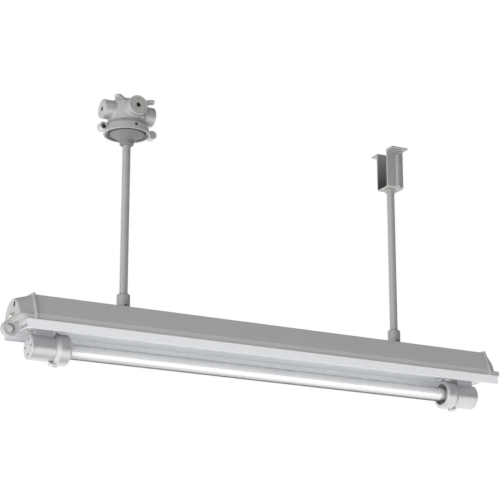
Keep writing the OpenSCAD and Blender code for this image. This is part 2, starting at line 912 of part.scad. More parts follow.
module reflector_screws() {
    head_r = 5;
    head_h = 3;
    color([0.8, 0.8, 0.8]) both_ends() for (side = [-1, 1])
        translate([refl_screw_x, side * refl_screw_y, 0]) {
            translate([0, 0, z_under - head_h]) cylinder(h = head_h, r = head_r);
            translate([0, 0, z_under]) cylinder(h = refl_sheet + refl_screw_len - 1, r = refl_screw_r);
        }
}

// Lampholders

saddle_over = 12;
neck_half_w = 18;
neck_gap = 4;
collar_x = holder_end - holder_len;
joint_x = collar_x + collar_len;
web_t = 5;
packing_t = 8;
glass_gap = 0.3;
nose_r = 31;
lock_shank_len = 12;
nose_x = collar_x + recess_h + web_t + packing_t;
holder_front = holder_end - cap_flange_t;

// Drawn from the tube side outwards, with the axis at z_axis
module lampholder() {
    saddle_x = holder_end + saddle_over - saddle_len;
    color([0.74, 0.74, 0.74]) difference() {
        union() {
            translate([0, 0, z_axis]) {
                rod_x(joint_x, holder_front - joint_x, holder_r);
                rod_x(nose_x, joint_x - nose_x, nose_r);
            }
            translate([saddle_x, -saddle_w / 2, z_under - saddle_t])
                cube([saddle_len, saddle_w, saddle_t]);
            translate([joint_x + neck_gap, -neck_half_w, z_axis])
                cube([holder_front - joint_x - 2 * neck_gap, 2 * neck_half_w, z_under - z_axis]);
        }
        translate([0, 0, z_axis]) rod_x(nose_x - 1, holder_len, holder_bore_r);
        at_saddle_screws()
            translate([0, 0, z_under - saddle_t - 1]) cylinder(h = saddle_t + 2, r = saddle_hole_r);
    }
}

module left_lampholder() {
    at_end(-1) lampholder();
}

module right_lampholder() {
    at_end(1) lampholder();
}

module saddle_screws() {
    head_af = 10;
    head_h = 4;
    color([0.78, 0.78, 0.76]) both_ends() at_saddle_screws() {
        translate([0, 0, z_under - saddle_t - head_h]) hexagon(head_af, head_h);
        translate([0, 0, z_under - saddle_t])
            cylinder(h = saddle_t + refl_sheet + seat + tray_t, r = saddle_screw_r);
    }
}

lock_stand_off = 0.7;
lock_drop_r = holder_r + lock_stand_off + lock_head_af / 2;
lock_seat_back = 1;
lock_seat_x = joint_x - lock_seat_back;
lock_screw_r = 3;
lock_lug_r = 6.5;
lock_lug_len = 12;

// The collar screws on the lampholder's nose and squeezes the packing on the glass
module collar() {
    mouth_r = collar_r - mouth_bevel;
    shoulder_step = 0.5;
    color([0.76, 0.76, 0.76]) translate([0, 0, z_axis]) difference() {
        union() {
            translate([collar_x, 0, 0]) rotate([0, 90, 0])
                cylinder(h = mouth_bevel, r1 = mouth_r, r2 = collar_r);
            rod_x(collar_x + mouth_bevel, collar_len - shoulder_len - mouth_bevel, collar_r);
            translate([joint_x - shoulder_len, 0, 0]) rotate([0, 90, 0])
                cylinder(h = shoulder_len, r1 = collar_r, r2 = holder_r + shoulder_step);
            translate([0, 0, -lock_drop_r]) rod_x(lock_seat_x - lock_lug_len, lock_lug_len, lock_lug_r);
        }
        rod_x(collar_x - 1, recess_h + 1, recess_r);
        rod_x(collar_x - 1, collar_len, glass_d / 2 + glass_gap);
        rod_x(collar_x + recess_h + web_t, collar_len, nose_r + fit);
        translate([0, 0, -lock_drop_r]) {
            rod_x(lock_seat_x, collar_len, lock_lug_r + slack);
            rod_x(lock_seat_x - lock_shank_len, collar_len, lock_screw_r + fit);
        }
    }
}

module left_collar() {
    at_end(-1) collar();
}

module right_collar() {
    at_end(1) collar();
}

module collar_lock_screws() {
    color([0.82, 0.82, 0.82]) both_ends() translate([0, 0, z_axis - lock_drop_r]) {
        translate([lock_seat_x, 0, 0]) rotate([0, 90, 0]) rotate(90) hexagon(lock_head_af, lock_head_h);
        rod_x(lock_seat_x - lock_shank_len + slack, lock_shank_len, lock_screw_r);
    }
}

module glass_packings() {
    color([0.15, 0.15, 0.15]) both_ends() translate([0, 0, z_axis]) difference() {
        rod_x(nose_x - packing_t, packing_t, nose_r);
        rod_x(nose_x - packing_t - 1, packing_t + 2, glass_d / 2 + fit);
    }
}

glass_in = 14;
glass_half = nose_x + glass_in;

module glass_tube() {
    color([0.85, 0.92, 0.93, 0.4]) translate([mid_x, 0, z_axis]) difference() {
        rod_x(-glass_half, 2 * glass_half, glass_d / 2);
        rod_x(-glass_half - 1, 2 * glass_half + 2, glass_d / 2 - glass_wall);
    }
}

// End caps and sockets: the caps turn and draw the sockets out with them

cap_wall = 5;
cap_bore_r = holder_bore_r - cap_wall;
socket_r = 17;
socket_guide_r = holder_bore_r - 0.1;
socket_guide_t = 4;
socket_stem_r = 8;
socket_len = 20;
socket_x = lamp_len / 2 + seat;
pin_pitch = 12.7;
pin_r = 1.175;
pin_len = 7.5;

module cap() {
    dome = 1.5;
    dome_edge = 3;
    hole_floor = 1.5;
    color([0.83, 0.83, 0.82]) translate([0, 0, z_axis]) difference() {
        union() {
            rod_x(holder_front, cap_flange_t - dome, holder_r);
            translate([holder_end - dome, 0, 0]) rotate([0, 90, 0])
                cylinder(h = dome, r1 = holder_r, r2 = holder_r - dome_edge);
            rod_x(holder_front - cap_thread_len, cap_thread_len, holder_bore_r - fit);
        }
        rod_x(holder_front - cap_thread_len - 1, cap_thread_len + 1, cap_bore_r);
        for (a = [0:90:270]) rotate([a, 0, 0]) translate([0, 0, spanner_r])
            rod_x(holder_front + hole_floor, cap_flange_t, spanner_hole_d / 2);
    }
}

module left_cap() {
    at_end(-1) cap();
}

module right_cap() {
    at_end(1) cap();
}

module lampholder_socket() {
    stem_end = holder_front - seat;
    color([0.94, 0.94, 0.92]) translate([0, 0, z_axis]) difference() {
        union() {
            rod_x(socket_x, socket_len, socket_r);
            rod_x(socket_x + socket_len / 2, socket_guide_t, socket_guide_r);
            rod_x(socket_x + socket_len, stem_end - socket_x - socket_len, socket_stem_r);
        }
        for (y = [-1, 1]) translate([0, y * pin_pitch / 2, 0])
            rod_x(socket_x - 1, pin_len + 2, pin_r + 0.2);
    }
}

module left_socket() {
    at_end(-1) lampholder_socket();
}

module right_socket() {
    at_end(1) lampholder_socket();
}

module lamp_glass() {
    half = lamp_len / 2 - lamp_cap_len;
    glass_t = 0.8;
    color([0.97, 0.97, 0.95]) translate([mid_x, 0, z_axis]) difference() {
        rod_x(-half, 2 * half, lamp_d / 2);
        rod_x(-half - 1, 2 * half + 2, lamp_d / 2 - glass_t);
    }
}

module lamp_caps() {
    color([0.78, 0.78, 0.78]) both_ends() translate([0, 0, z_axis]) {
        rod_x(lamp_len / 2 - lamp_cap_len, lamp_cap_len, lamp_d / 2);
        for (y = [-1, 1]) translate([0, y * pin_pitch / 2, 0])
            rod_x(lamp_len / 2, pin_len, pin_r);
    }
}

junction_box();
entry_plugs();
cover_ring();
ring_clamp_screws();
ring_lock_screw();
pipe_flange();
box_earth_screw();
box_terminal_block();
left_pipe();
right_pipe();
left_coupling();
right_coupling();
coupling_set_screws();
coupling_locknuts();
hanger_bracket();
pipe_nuts();
housing();
ballast_tray();
ballast();
ballast_screws();
supply_terminal();
left_end_box();
right_end_box();
face_plugs();
eye_pad_nut();
reflector();
front_lip();
back_lip();
reflector_screws();
left_lampholder();
right_lampholder();
saddle_screws();
left_collar();
right_collar();
collar_lock_screws();
glass_packings();
glass_tube();
left_cap();
right_cap();
left_socket();
right_socket();
lamp_glass();
lamp_caps();
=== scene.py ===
import json
import math

import bmesh
import bpy
from mathutils import Matrix, Vector
from mathutils.bvhtree import BVHTree
from mathutils.kdtree import KDTree


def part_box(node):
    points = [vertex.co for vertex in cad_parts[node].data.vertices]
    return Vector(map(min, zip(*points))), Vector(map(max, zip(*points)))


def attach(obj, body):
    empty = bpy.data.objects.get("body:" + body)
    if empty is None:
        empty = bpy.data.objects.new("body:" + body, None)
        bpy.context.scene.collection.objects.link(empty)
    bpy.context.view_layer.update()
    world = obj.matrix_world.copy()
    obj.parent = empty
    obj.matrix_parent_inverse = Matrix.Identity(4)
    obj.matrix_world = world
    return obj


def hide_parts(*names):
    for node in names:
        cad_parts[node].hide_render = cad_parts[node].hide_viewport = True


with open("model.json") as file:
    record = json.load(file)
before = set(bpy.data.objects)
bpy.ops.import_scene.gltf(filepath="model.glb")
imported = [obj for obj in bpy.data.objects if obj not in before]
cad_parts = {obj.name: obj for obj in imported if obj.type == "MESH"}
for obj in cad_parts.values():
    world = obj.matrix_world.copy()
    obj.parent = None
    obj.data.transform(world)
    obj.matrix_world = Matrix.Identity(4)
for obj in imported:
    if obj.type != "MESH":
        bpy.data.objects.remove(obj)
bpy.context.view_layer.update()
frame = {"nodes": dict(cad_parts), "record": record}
nodes = frame["nodes"]
MM = 0.001

# The viewpoint: a long lens from low down on the left,
# looking up along the light.
camera_data = bpy.data.cameras.new("viewpoint")
camera_data.sensor_width = 36.0
camera_data.lens = 126.0
camera = bpy.data.objects.new("viewpoint", camera_data)
camera.location = (-1.7063, -3.8832, -1.6514)
camera.rotation_euler = (math.radians(106.55), 0.0, math.radians(-28.0042))
bpy.context.scene.collection.objects.link(camera)
bpy.context.scene.camera = camera
bpy.context.scene.view_settings.view_transform = "Standard"

# The studio: a white surround that is duller on one side, a pale floor far below the light,
# a large soft lamp at the left and a weak strip low in front.
# Caustics are off, because the glass throws bright specks on the reflector.
bpy.context.scene.cycles.caustics_reflective = False
bpy.context.scene.cycles.caustics_refractive = False
BRIGHT_SIDE = (-0.75, 0.66, 0.0)
SIDE_FADE = (-0.9, 0.3)
SURROUND_DARK = 0.22
SURROUND_ABOVE = 1.1
LIT_STRENGTH = 0.46
LIT_CEILING = (0.0, 0.6)
MIRRORED_STRENGTH = 1.1
MIRRORED_CEILING = (0.3, 0.65)


def add_node(tree, kind, values=None, **options):
    """A node with its options set. values gives a socket its number, or the output that feeds it."""
    node = tree.nodes.new(kind)
    for option, choice in options.items():
        setattr(node, option, choice)
    for socket, value in (values or {}).items():
        if isinstance(value, bpy.types.NodeSocket):
            tree.links.new(value, node.inputs[socket])
        else:
            node.inputs[socket].default_value = value
    return node


def ramp(tree, value, span, levels=(0.0, 1.0), curve="LINEAR"):
    """Goes from the first level to the second while value crosses the span."""
    labels = ("Value", "From Min", "From Max", "To Min", "To Max")
    sockets = dict(zip(labels, (value, *span, *levels)))
    return add_node(tree, "ShaderNodeMapRange", sockets, interpolation_type=curve).outputs["Result"]


def worked_out(tree, operation, *values):
    """The result of one Math node."""
    return add_node(tree, "ShaderNodeMath", dict(enumerate(values)), operation=operation).outputs[0]


def mixed(tree, factor, first, second, **options):
    """The first value where factor is 0 and the second where it is 1."""
    sockets = {"Factor": factor, "A": first, "B": second}
    return add_node(tree, "ShaderNodeMix", sockets, **options).outputs["Result"]


def mixed_shader(tree, factor, first, second):
    """The first shader where factor is 0 and the second where it is 1."""
    return add_node(tree, "ShaderNodeMixShader", {"Fac": factor, 1: first, 2: second}).outputs[0]


world = bpy.data.worlds.new("white_studio")
bpy.context.scene.world = world
world.use_nodes = True
sky = world.node_tree
sky.nodes.clear()


def sky_light(colour, strength):
    return add_node(sky, "ShaderNodeBackground", {"Color": colour, "Strength": strength}).outputs[0]


sky_way = add_node(sky, "ShaderNodeTexCoord").outputs["Generated"]
sky_side = add_node(sky, "ShaderNodeVectorMath", {0: sky_way, 1: BRIGHT_SIDE}, operation="DOT_PRODUCT")
sky_round = ramp(sky, sky_side.outputs["Value"], SIDE_FADE, (SURROUND_DARK, 1.0), "SMOOTHSTEP")
sky_height = add_node(sky, "ShaderNodeSeparateXYZ", {0: sky_way}).outputs["Z"]
lit_share = ramp(sky, sky_height, LIT_CEILING, curve="SMOOTHSTEP")
lit_sky = sky_light(mixed(sky, lit_share, sky_round, SURROUND_ABOVE), LIT_STRENGTH)
mirrored_share = ramp(sky, sky_height, MIRRORED_CEILING, curve="SMOOTHSTEP")
mirrored_sky = sky_light(mixed(sky, mirrored_share, sky_round, SURROUND_DARK), MIRRORED_STRENGTH)
white_sky = sky_light((1.0, 1.0, 1.0, 1.0), 1.0)
sky_path = add_node(sky, "ShaderNodeLightPath").outputs
sky_seen = worked_out(sky, "MAXIMUM", sky_path["Is Camera Ray"], sky_path["Is Transmission Ray"])
sky_unseen = mixed_shader(sky, sky_path["Is Glossy Ray"], lit_sky, mirrored_sky)
add_node(sky, "ShaderNodeOutputWorld", {"Surface": mixed_shader(sky, sky_seen, sky_unseen, white_sky)})

LAMPS_AIM = (0.4, 0.0, -0.4)


def soft_lamp(name, place, width, height, watts, mirrored):
    data = bpy.data.lights.new(name, "AREA")
    data.shape = "RECTANGLE"
    data.size = width
    data.size_y = height
    data.energy = watts
    lamp = bpy.data.objects.new(name, data)
    lamp.location = place
    lamp.rotation_euler = (Vector(LAMPS_AIM) - Vector(place)).to_track_quat("-Z", "Y").to_euler()
    lamp.visible_camera = False
    lamp.visible_glossy = mirrored
    bpy.context.scene.collection.objects.link(lamp)


soft_lamp("left_softbox", (-10.8, -4.3, -1.3), width=8.0, height=8.0, watts=830.0, mirrored=False)
soft_lamp("front_strip", (0.4, -3.4, -2.1), width=8.0, height=0.5, watts=7.0, mirrored=True)

FLOOR_MIDDLE = (0.4, 0.0, -2.4)
FLOOR_HALF = 7.0
FLOOR_PAINT = (0.92, 0.92, 0.92, 1.0)
FLOOR_GLOW = 0.86
FLOOR_RISE = (0.3, 1.3)
FLOOR_SEEN = 0.90

floor_x, floor_y, floor_z = FLOOR_MIDDLE
floor_corners = [
    (floor_x + x * FLOOR_HALF, floor_y + y * FLOOR_HALF, floor_z)
    for x, y in ((-1, -1), (1, -1), (1, 1), (-1, 1))
]
floor_data = bpy.data.meshes.new("studio_floor")
floor_data.from_pydata(floor_corners, [], [(0, 1, 2, 3)])
floor = bpy.data.objects.new("studio_floor", floor_data)
bpy.context.scene.collection.objects.link(floor)
floor_paint = bpy.data.materials.new("studio_floor_paint")
floor_paint.use_nodes = True
floor_tree = floor_paint.node_tree
floor_tree.nodes.clear()
floor_spot = add_node(floor_tree, "ShaderNodeTexCoord").outputs["Object"]
floor_ends = {0: floor_spot, 1: FLOOR_MIDDLE}
floor_off = add_node(floor_tree, "ShaderNodeVectorMath", floor_ends, operation="DISTANCE")
floor_round = ramp(floor_tree, floor_off.outputs["Value"], FLOOR_RISE, (0.0, FLOOR_GLOW), "SMOOTHSTEP")
floor_in_view = add_node(floor_tree, "ShaderNodeLightPath").outputs["Is Camera Ray"]
floor_level = mixed(floor_tree, floor_in_view, floor_round, FLOOR_SEEN)
floor_glow = add_node(floor_tree, "ShaderNodeEmission", {"Strength": floor_level}).outputs[0]
floor_face = add_node(floor_tree, "ShaderNodeBsdfDiffuse", {"Color": FLOOR_PAINT}).outputs[0]
floor_top = add_node(floor_tree, "ShaderNodeAddShader", {0: floor_face, 1: floor_glow}).outputs[0]
floor_under = add_node(floor_tree, "ShaderNodeBsdfTransparent").outputs[0]
floor_back = add_node(floor_tree, "ShaderNodeNewGeometry").outputs["Backfacing"]
floor_whole = mixed_shader(floor_tree, floor_back, floor_top, floor_under)
add_node(floor_tree, "ShaderNodeOutputMaterial", {"Surface": floor_whole})
floor_data.materials.append(floor_paint)

# Junction box: a sand-cast aluminium body with four threaded hubs and four ceiling lugs.
# It is painted silver-grey over the cast skin, so its edges are soft and its
# faces faintly rough. Turned plugs close three of the hubs.
RUBBED_SPOTS = (0.42, 0.62)
# Pale colour for scuffed edges and the painted edge highlight; near black for painted shade.
SCUFF_AND_HIGHLIGHT_COLOUR = (0.86, 0.86, 0.85, 1.0)
PAINTED_SHADE_COLOUR = (0.03, 0.03, 0.03, 1.0)
MOTTLE_MIDDLE = (0.3, 0.7)
SKIN_DEFAULTS = {
    "Mottle Scale": 60.0,
    "Mottle": 0.1,
    "Grain Scale": 900.0,
    "Grain": 0.5,
    "Gloss Low": 0.35,
    "Gloss High": 0.5,
    "Wear": 0.0,
    "Edge Lift": 0.0,
}


def skin_group():
    """Paint or metal with a slow mottle and a fine grain. Near the edges that the attribute
    cast_edge marks it is scuffed pale in spots and paler all along as a painted edge highlight; deep_shade
    darkens it as painted shade."""
    group = bpy.data.node_groups.new("painted_skin", "ShaderNodeTree")
    face = group.interface
    face.new_socket("Colour", in_out="INPUT", socket_type="NodeSocketColor")
    for label, value in SKIN_DEFAULTS.items():
        face.new_socket(label, in_out="INPUT", socket_type="NodeSocketFloat").default_value = value
    for label, kind in (("Colour", "Color"), ("Roughness", "Float"), ("Height", "Float")):
        face.new_socket(label, in_out="OUTPUT", socket_type="NodeSocket" + kind)
    given = add_node(group, "NodeGroupInput").outputs
    spot = add_node(group, "ShaderNodeTexCoord").outputs["Object"]

    def noise(scale, detail):
        sockets = {"Vector": spot, "Scale": scale, "Detail": detail}
        return add_node(group, "ShaderNodeTexNoise", sockets).outputs["Fac"]

    def attribute(label):
        return add_node(group, "ShaderNodeAttribute", attribute_name=label).outputs["Fac"]

    mottle = noise(given["Mottle Scale"], 4.0)
    grain = noise(given["Grain Scale"], 2.0)
    twice = worked_out(group, "MULTIPLY", given["Mottle"], 2.0)
    darker = mixed(group, twice, given["Colour"], mottle, data_type="RGBA", blend_type="MULTIPLY")
    mottled = mixed(group, given["Mottle"], darker, given["Colour"], data_type="RGBA", blend_type="ADD")
    in_spots = worked_out(group, "MULTIPLY", ramp(group, mottle, RUBBED_SPOTS), given["Wear"])
    # The second term pales every edge all along: a painted edge highlight on top of the scuffed spots.
    paler = worked_out(group, "ADD", in_spots, given["Edge Lift"])
    scuffed_and_highlit = worked_out(group, "MULTIPLY", paler, attribute("cast_edge"))
    edge_scuff_and_highlight = mixed(group, scuffed_and_highlit, mottled, SCUFF_AND_HIGHLIGHT_COLOUR, data_type="RGBA")
    # Painted shade: deep_shade darkens the paint towards near black in recesses and on shaded sides.
    painted_shade = mixed(group, attribute("deep_shade"), edge_scuff_and_highlight, PAINTED_SHADE_COLOUR, data_type="RGBA")
    gloss = ramp(group, mottle, MOTTLE_MIDDLE, (given["Gloss Low"], given["Gloss High"]))
    height = worked_out(group, "MULTIPLY_ADD", grain, given["Grain"], mottle)
    add_node(group, "NodeGroupOutput", {"Colour": painted_shade, "Roughness": gloss, "Height": height})
    return group


painted_skin = skin_group()


def plain_material(name, colour, metallic, roughness):
    """A new material, its Principled shader and its node tree."""
    material = bpy.data.materials.new(name)
    material.use_nodes = True
    shader = material.node_tree.nodes["Principled BSDF"]
    shader.inputs["Base Color"].default_value = (*colour, 1.0)
    shader.inputs["Metallic"].default_value = metallic
    shader.inputs["Roughness"].default_value = roughness
    material.diffuse_color = (*colour, 1.0)
    return material, shader, material.node_tree


RELIEF_DEPTH = 0.4
COAT_ROUGHNESS = 0.25


def skinned_material(name, colour, metallic, mottle, grain, gloss, bump, coat=0.0, wear_and_edge_highlight=(0.0, 0.0)):
    """Paint over metal: mottle and grain are (scale, amount), gloss is the roughness range,
    and the last argument is how far edges are scuffed pale in spots and how much paler they are all along, as
    a painted edge highlight."""
    material, shader, tree = plain_material(name, colour, metallic, gloss[0])
    sockets = dict(zip(SKIN_DEFAULTS, (*mottle, *grain, *gloss, *wear_and_edge_highlight)), Colour=(*colour, 1.0))
    skin = add_node(tree, "ShaderNodeGroup", sockets, node_tree=painted_skin).outputs
    relief = {"Strength": bump, "Distance": RELIEF_DEPTH * MM, "Height": skin["Height"]}
    tree.links.new(add_node(tree, "ShaderNodeBump", relief).outputs["Normal"], shader.inputs["Normal"])
    tree.links.new(skin["Colour"], shader.inputs["Base Color"])
    tree.links.new(skin["Roughness"], shader.inputs["Roughness"])
    shader.inputs["Coat Weight"].default_value = coat
    shader.inputs["Coat Roughness"].default_value = COAT_ROUGHNESS
    return material


def cad_span(node, axis):
    """The lowest and the highest place of a CAD node along X, Y or Z, in millimetres."""
    return [round(corner["XYZ".index(axis)] / MM, 2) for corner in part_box(node)]


def new_piece(name, data, material, body, slot, *replaced):
    """A smooth piece of the object, on its body and in place of the CAD nodes that it replaces."""
    piece = bpy.data.objects.new(name, data)
    bpy.context.scene.collection.objects.link(piece)
    data.materials.clear()
    data.materials.append(material)
    for face in data.polygons:
        face.use_smooth = True
    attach(piece, body)
    if replaced:
        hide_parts(*replaced)
    return piece


MERGE_GAP = 0.002
SHARP = math.radians(28)
EDGE_SPACING = 0.7
SOFTEN_FACTOR = 0.5
SOFTEN_ROUNDS = 5
ROUNDED_SHARE = 0.3


def merged_solid(node):
    """A CAD node's loose triangles, joined."""
    solid = bmesh.new()
    solid.from_mesh(nodes[node].data)
    bmesh.ops.remove_doubles(solid, verts=solid.verts, dist=MERGE_GAP * MM)
    solid.normal_update()
    return solid


def sharp_edges(solid, spacing):
    """Points all along a solid's sharp edges, ready to be searched."""
    points = []
    for line in solid.edges:
        if len(line.link_faces) == 2 and line.calc_face_angle(0.0) > SHARP:
            start, end = line.verts[0].co, line.verts[1].co
            steps = max(1, int((end - start).length / spacing))
            points += [start.lerp(end, i / steps) for i in range(steps + 1)]
    edges = KDTree(len(points))
    for i, point in enumerate(points):
        edges.insert(point, i)
    edges.balance()
    return edges


def plain_mesh(holder):
    """The mesh that an object's modifiers give. The object and its own mesh are removed."""
    start = holder.data
    bpy.context.view_layer.update()
    data = bpy.data.meshes.new_from_object(holder.evaluated_get(bpy.context.evaluated_depsgraph_get()))
    bpy.data.objects.remove(holder)
    bpy.data.meshes.remove(start)
    return data


def smoothed_skin(name, solid, voxel):
    """A fine closed mesh over a solid, with its edges and corners rounded."""
    rough = bpy.data.meshes.new(name)
    solid.to_mesh(rough)
    holder = bpy.data.objects.new(name, rough)
    bpy.context.scene.collection.objects.link(holder)
    skin = holder.modifiers.new("skin", "REMESH")
    skin.mode = "VOXEL"
    skin.voxel_size = voxel
    soften = holder.modifiers.new("soften", "SMOOTH")
    soften.factor = SOFTEN_FACTOR
    soften.iterations = SOFTEN_ROUNDS
    return plain_mesh(holder)


def cast_form(node, voxel, edge, shade=None):
    """A copy of a CAD solid with the rounded edges and inner corners of a casting.
    Away from its edges the surface stays on the solid's own faces. Sizes are in millimetres,
    and shade gives the painted shade at a spot in millimetres, from 0 to 1."""
    reach = edge * MM
    solid = merged_solid(node)
    faces = BVHTree.FromBMesh(solid)
    edges = sharp_edges(solid, EDGE_SPACING * reach)
    data = smoothed_skin(node + "_cast_rough", solid, voxel * MM)
    solid.free()
    # cast_edge marks nearness to an edge, for scuffs and for a painted edge highlight.
    edge_scuff_and_highlight = data.attributes.new("cast_edge", "FLOAT", "POINT")
    for vertex in data.vertices:
        share = min(1.0, edges.find(vertex.co)[2] / reach)
        edge_scuff_and_highlight.data[vertex.index].value = 1.0 - share
        if share > ROUNDED_SHARE:
            near = faces.find_nearest(vertex.co)[0]
            vertex.co = vertex.co.lerp(near, (share - ROUNDED_SHARE) / (1.0 - ROUNDED_SHARE))
    if shade:
        # deep_shade stores the painted shade that the material darkens by.
        shade_attribute = data.attributes.new("deep_shade", "FLOAT", "POINT")
        for vertex in data.vertices:
            shade_attribute.data[vertex.index].value = shade(vertex.co / MM)
    data.update()
    return data


silver_box = skinned_material(
    "silver_paint_on_box_casting", (0.53, 0.53, 0.54), metallic=0.40,
    mottle=(45.0, 0.08), grain=(700.0, 0.7), gloss=(0.38, 0.48), bump=0.10, wear_and_edge_highlight=(0.3, 0.02),
)
new_piece(
    "junction_box_casting", cast_form("junction_box", voxel=1.1, edge=1.6),
    silver_box, "fixture", "cast_alloy", "junction_box",
)
PLUG_Z = sum(cad_span("entry_plugs", "Z")) / 2
PLUG_FACE = -cad_span("entry_plugs", "X")[0]
PLUG_SOCKET = 6.9
PLUG_SOCKET_EDGE = 0.4
PLUG_SOCKET_SHADE = 0.95


def plug_socket_shade(spot):
    """Painted shade inside the hexagon sockets of the plugs."""
    reach = max(abs(spot.x), abs(spot.y))
    side = min(abs(spot.x), abs(spot.y))
    inside = math.hypot(side, spot.z - PLUG_Z) < PLUG_SOCKET and reach < PLUG_FACE - PLUG_SOCKET_EDGE
    return PLUG_SOCKET_SHADE if inside else 0.0


turned_grey = skinned_material(
    "turned_plug_metal", (0.50, 0.49, 0.47), metallic=0.45,
    mottle=(90.0, 0.10), grain=(1500.0, 0.6), gloss=(0.42, 0.55), bump=0.12,
)
new_piece(
    "entry_plugs_turned", cast_form("entry_plugs", voxel=0.7, edge=0.8, shade=plug_socket_shade),
    turned_grey, "fixture", "plug_alloy", "entry_plugs",
)

# Fasteners of the junction box: a zinc-plated earth screw with its washer on the body,
# and two clamp screws and a small lock screw of blackened steel in the cover ring.


def finish(material, *names):
    """Gives the CAD nodes' own meshes their material."""
    for name in names:
        data = nodes[name].data
        data.materials.clear()
        data.materials.append(material)


dark_steel = skinned_material(
    "blackened_steel", (0.13, 0.13, 0.13), metallic=0.8,
    mottle=(200.0, 0.10), grain=(1600.0, 0.5), gloss=(0.35, 0.5), bump=0.10,
)
bright_zinc = skinned_material(
    "zinc_plated_steel", (0.66, 0.65, 0.62), metallic=0.85,
    mottle=(160.0, 0.10), grain=(1200.0, 0.4), gloss=(0.26, 0.38), bump=0.06,
)
finish(bright_zinc, "box_earth_screw")
finish(dark_steel, "ring_clamp_screws", "ring_lock_screw")

# Cover ring and pipe flange: the ring screws up over the body and holds the conical flange,
# whose hub carries the pipe. Both are cast, and the dark gap between them is deepened by painted shade.
RIM_Z = -87.5
RIM_REACH = 61.0
RIM_TOP_Z = RIM_Z + 1.2
RIM_SHADE = 0.3
RECESS_REACH = 55.8
RECESS_LOW_Z = RIM_Z + 0.5
RECESS_SHADE = 0.35
FLANGE_CLEAN_REACH = 43.0
FLANGE_FADE = 1.5
FLANGE_EDGE_SHADE = 0.95


def groove_shade(spot):
    """Painted shade on the ring's recess round the flange, and a lighter painted shade on its lower edge,
    which faces down.
    """
    off = math.hypot(spot.x, spot.y)
    if off < RECESS_REACH and spot.z > RECESS_LOW_Z:
        return RECESS_SHADE
    return RIM_SHADE if off < RIM_REACH and spot.z < RIM_TOP_Z else 0.0


def flange_edge_shade(spot):
    """Painted shade on the flange's edge, where it goes up into the recess."""
    past = math.hypot(spot.x, spot.y) - FLANGE_CLEAN_REACH
    return FLANGE_EDGE_SHADE * min(1.0, max(0.0, past / FLANGE_FADE))


new_piece(
    "cover_ring_casting", cast_form("cover_ring", voxel=1.1, edge=1.6, shade=groove_shade),
    silver_box, "fixture", "cast_alloy", "cover_ring",
)
# Painted shade: the flange's paint is made much darker than the other cast paint, for its downward-facing
# cone; the coarse grain is its own.
shaded_cast = skinned_material(
    "dark_grey_flange_paint_as_painted_shade", (0.215, 0.213, 0.208), metallic=0.15,
    mottle=(70.0, 0.12), grain=(420.0, 1.4), gloss=(0.5, 0.65), bump=0.22,
)
new_piece(
    "pipe_flange_casting", cast_form("pipe_flange", voxel=1.1, edge=1.6, shade=flange_edge_shade),
    shaded_cast, "fixture", "cast_shaded", "pipe_flange",
)

# Terminal blocks, moulded in off-white heat-proof plastic,
# one in the junction box and one on the tray in the housing.
moulded_white = skinned_material(
    "moulded_white_plastic", (0.84, 0.83, 0.79), metallic=0.0,
    mottle=(120.0, 0.04), grain=(1100.0, 0.3), gloss=(0.42, 0.5), bump=0.05,
)
finish(moulded_white, "box_terminal_block", "supply_terminal")

# Hanging pipes and their couplings: drawn steel tube and turned sockets,
# under one coat of smooth grey paint.
pipe_paint = skinned_material(
    "grey_paint_on_pipe", (0.40, 0.40, 0.395), metallic=0.3,
    mottle=(35.0, 0.05), grain=(500.0, 0.5), gloss=(0.32, 0.40), bump=0.05,
)
finish(pipe_paint, "left_pipe", "right_pipe", "left_coupling", "right_coupling")
finish(dark_steel, "coupling_set_screws")
finish(bright_zinc, "coupling_locknuts")

# Hanger bracket: thick steel strap, bent to a U with two ceiling flanges,
# with the pipe clamped in its web between two nuts.
STRAP = 4.5
LEG_INSIDE = 22.5
WEB_Z = cad_span("hanger_bracket", "Z")[0] + STRAP
LEG_EDGE = 0.4
LEG_SHADE = 0.2
WEB_SHADE = 0.65


def bracket_shade(spot):
    """Painted shade between the legs, darker towards the web."""
    inside = abs(spot.y) < LEG_INSIDE + LEG_EDGE and spot.z > WEB_Z - LEG_EDGE
    return LEG_SHADE + WEB_SHADE * spot.z / WEB_Z if inside else 0.0


# The strap's edges are paled strongly all along: a painted edge highlight.
strap_paint = skinned_material(
    "grey_paint_on_strap", (0.40, 0.40, 0.395), metallic=0.3,
    mottle=(50.0, 0.07), grain=(600.0, 0.6), gloss=(0.36, 0.46), bump=0.08, wear_and_edge_highlight=(0.3, 0.3),
)
new_piece(
    "hanger_bracket_strap", cast_form("hanger_bracket", voxel=0.9, edge=1.0, shade=bracket_shade),
    strap_paint, "fixture", "strap_steel", "hanger_bracket",
)
finish(turned_grey, "pipe_nuts")

# Housing: folded steel sheet under flat grey paint. The enamelled ballast is screwed
# to a plated tray inside it.
TRAY_Z = cad_span("ballast_tray", "Z")[1]
BALLAST_FOOT = 3.0
UP = (0.0, 0.0, 1.0)
DOWN = (0.0, 0.0, -1.0)
CORNERS = 24
HEXAGON = 6
ROUND = 0
SCREW_SEED = 7


def shape_tree(name, inputs):
    """An empty Geometry Nodes tree with named inputs, and what they give."""
    tree = bpy.data.node_groups.new(name, "GeometryNodeTree")
    tree.interface.new_socket("Geometry", in_out="INPUT", socket_type="NodeSocketGeometry")
    for label, kind in inputs:
        tree.interface.new_socket(label, in_out="INPUT", socket_type="NodeSocket" + kind)
    tree.interface.new_socket("Geometry", in_out="OUTPUT", socket_type="NodeSocketGeometry")
    return tree, add_node(tree, "NodeGroupInput").outputs


def end_tree(tree, shape, material):
    """The tree's last nodes: plain geometry with its material."""
    whole = add_node(tree, "GeometryNodeRealizeInstances", {"Geometry": shape}).outputs[0]
    painted = add_node(tree, "GeometryNodeSetMaterial", {"Geometry": whole, "Material": material})
    add_node(tree, "NodeGroupOutput", {"Geometry": painted.outputs[0]})


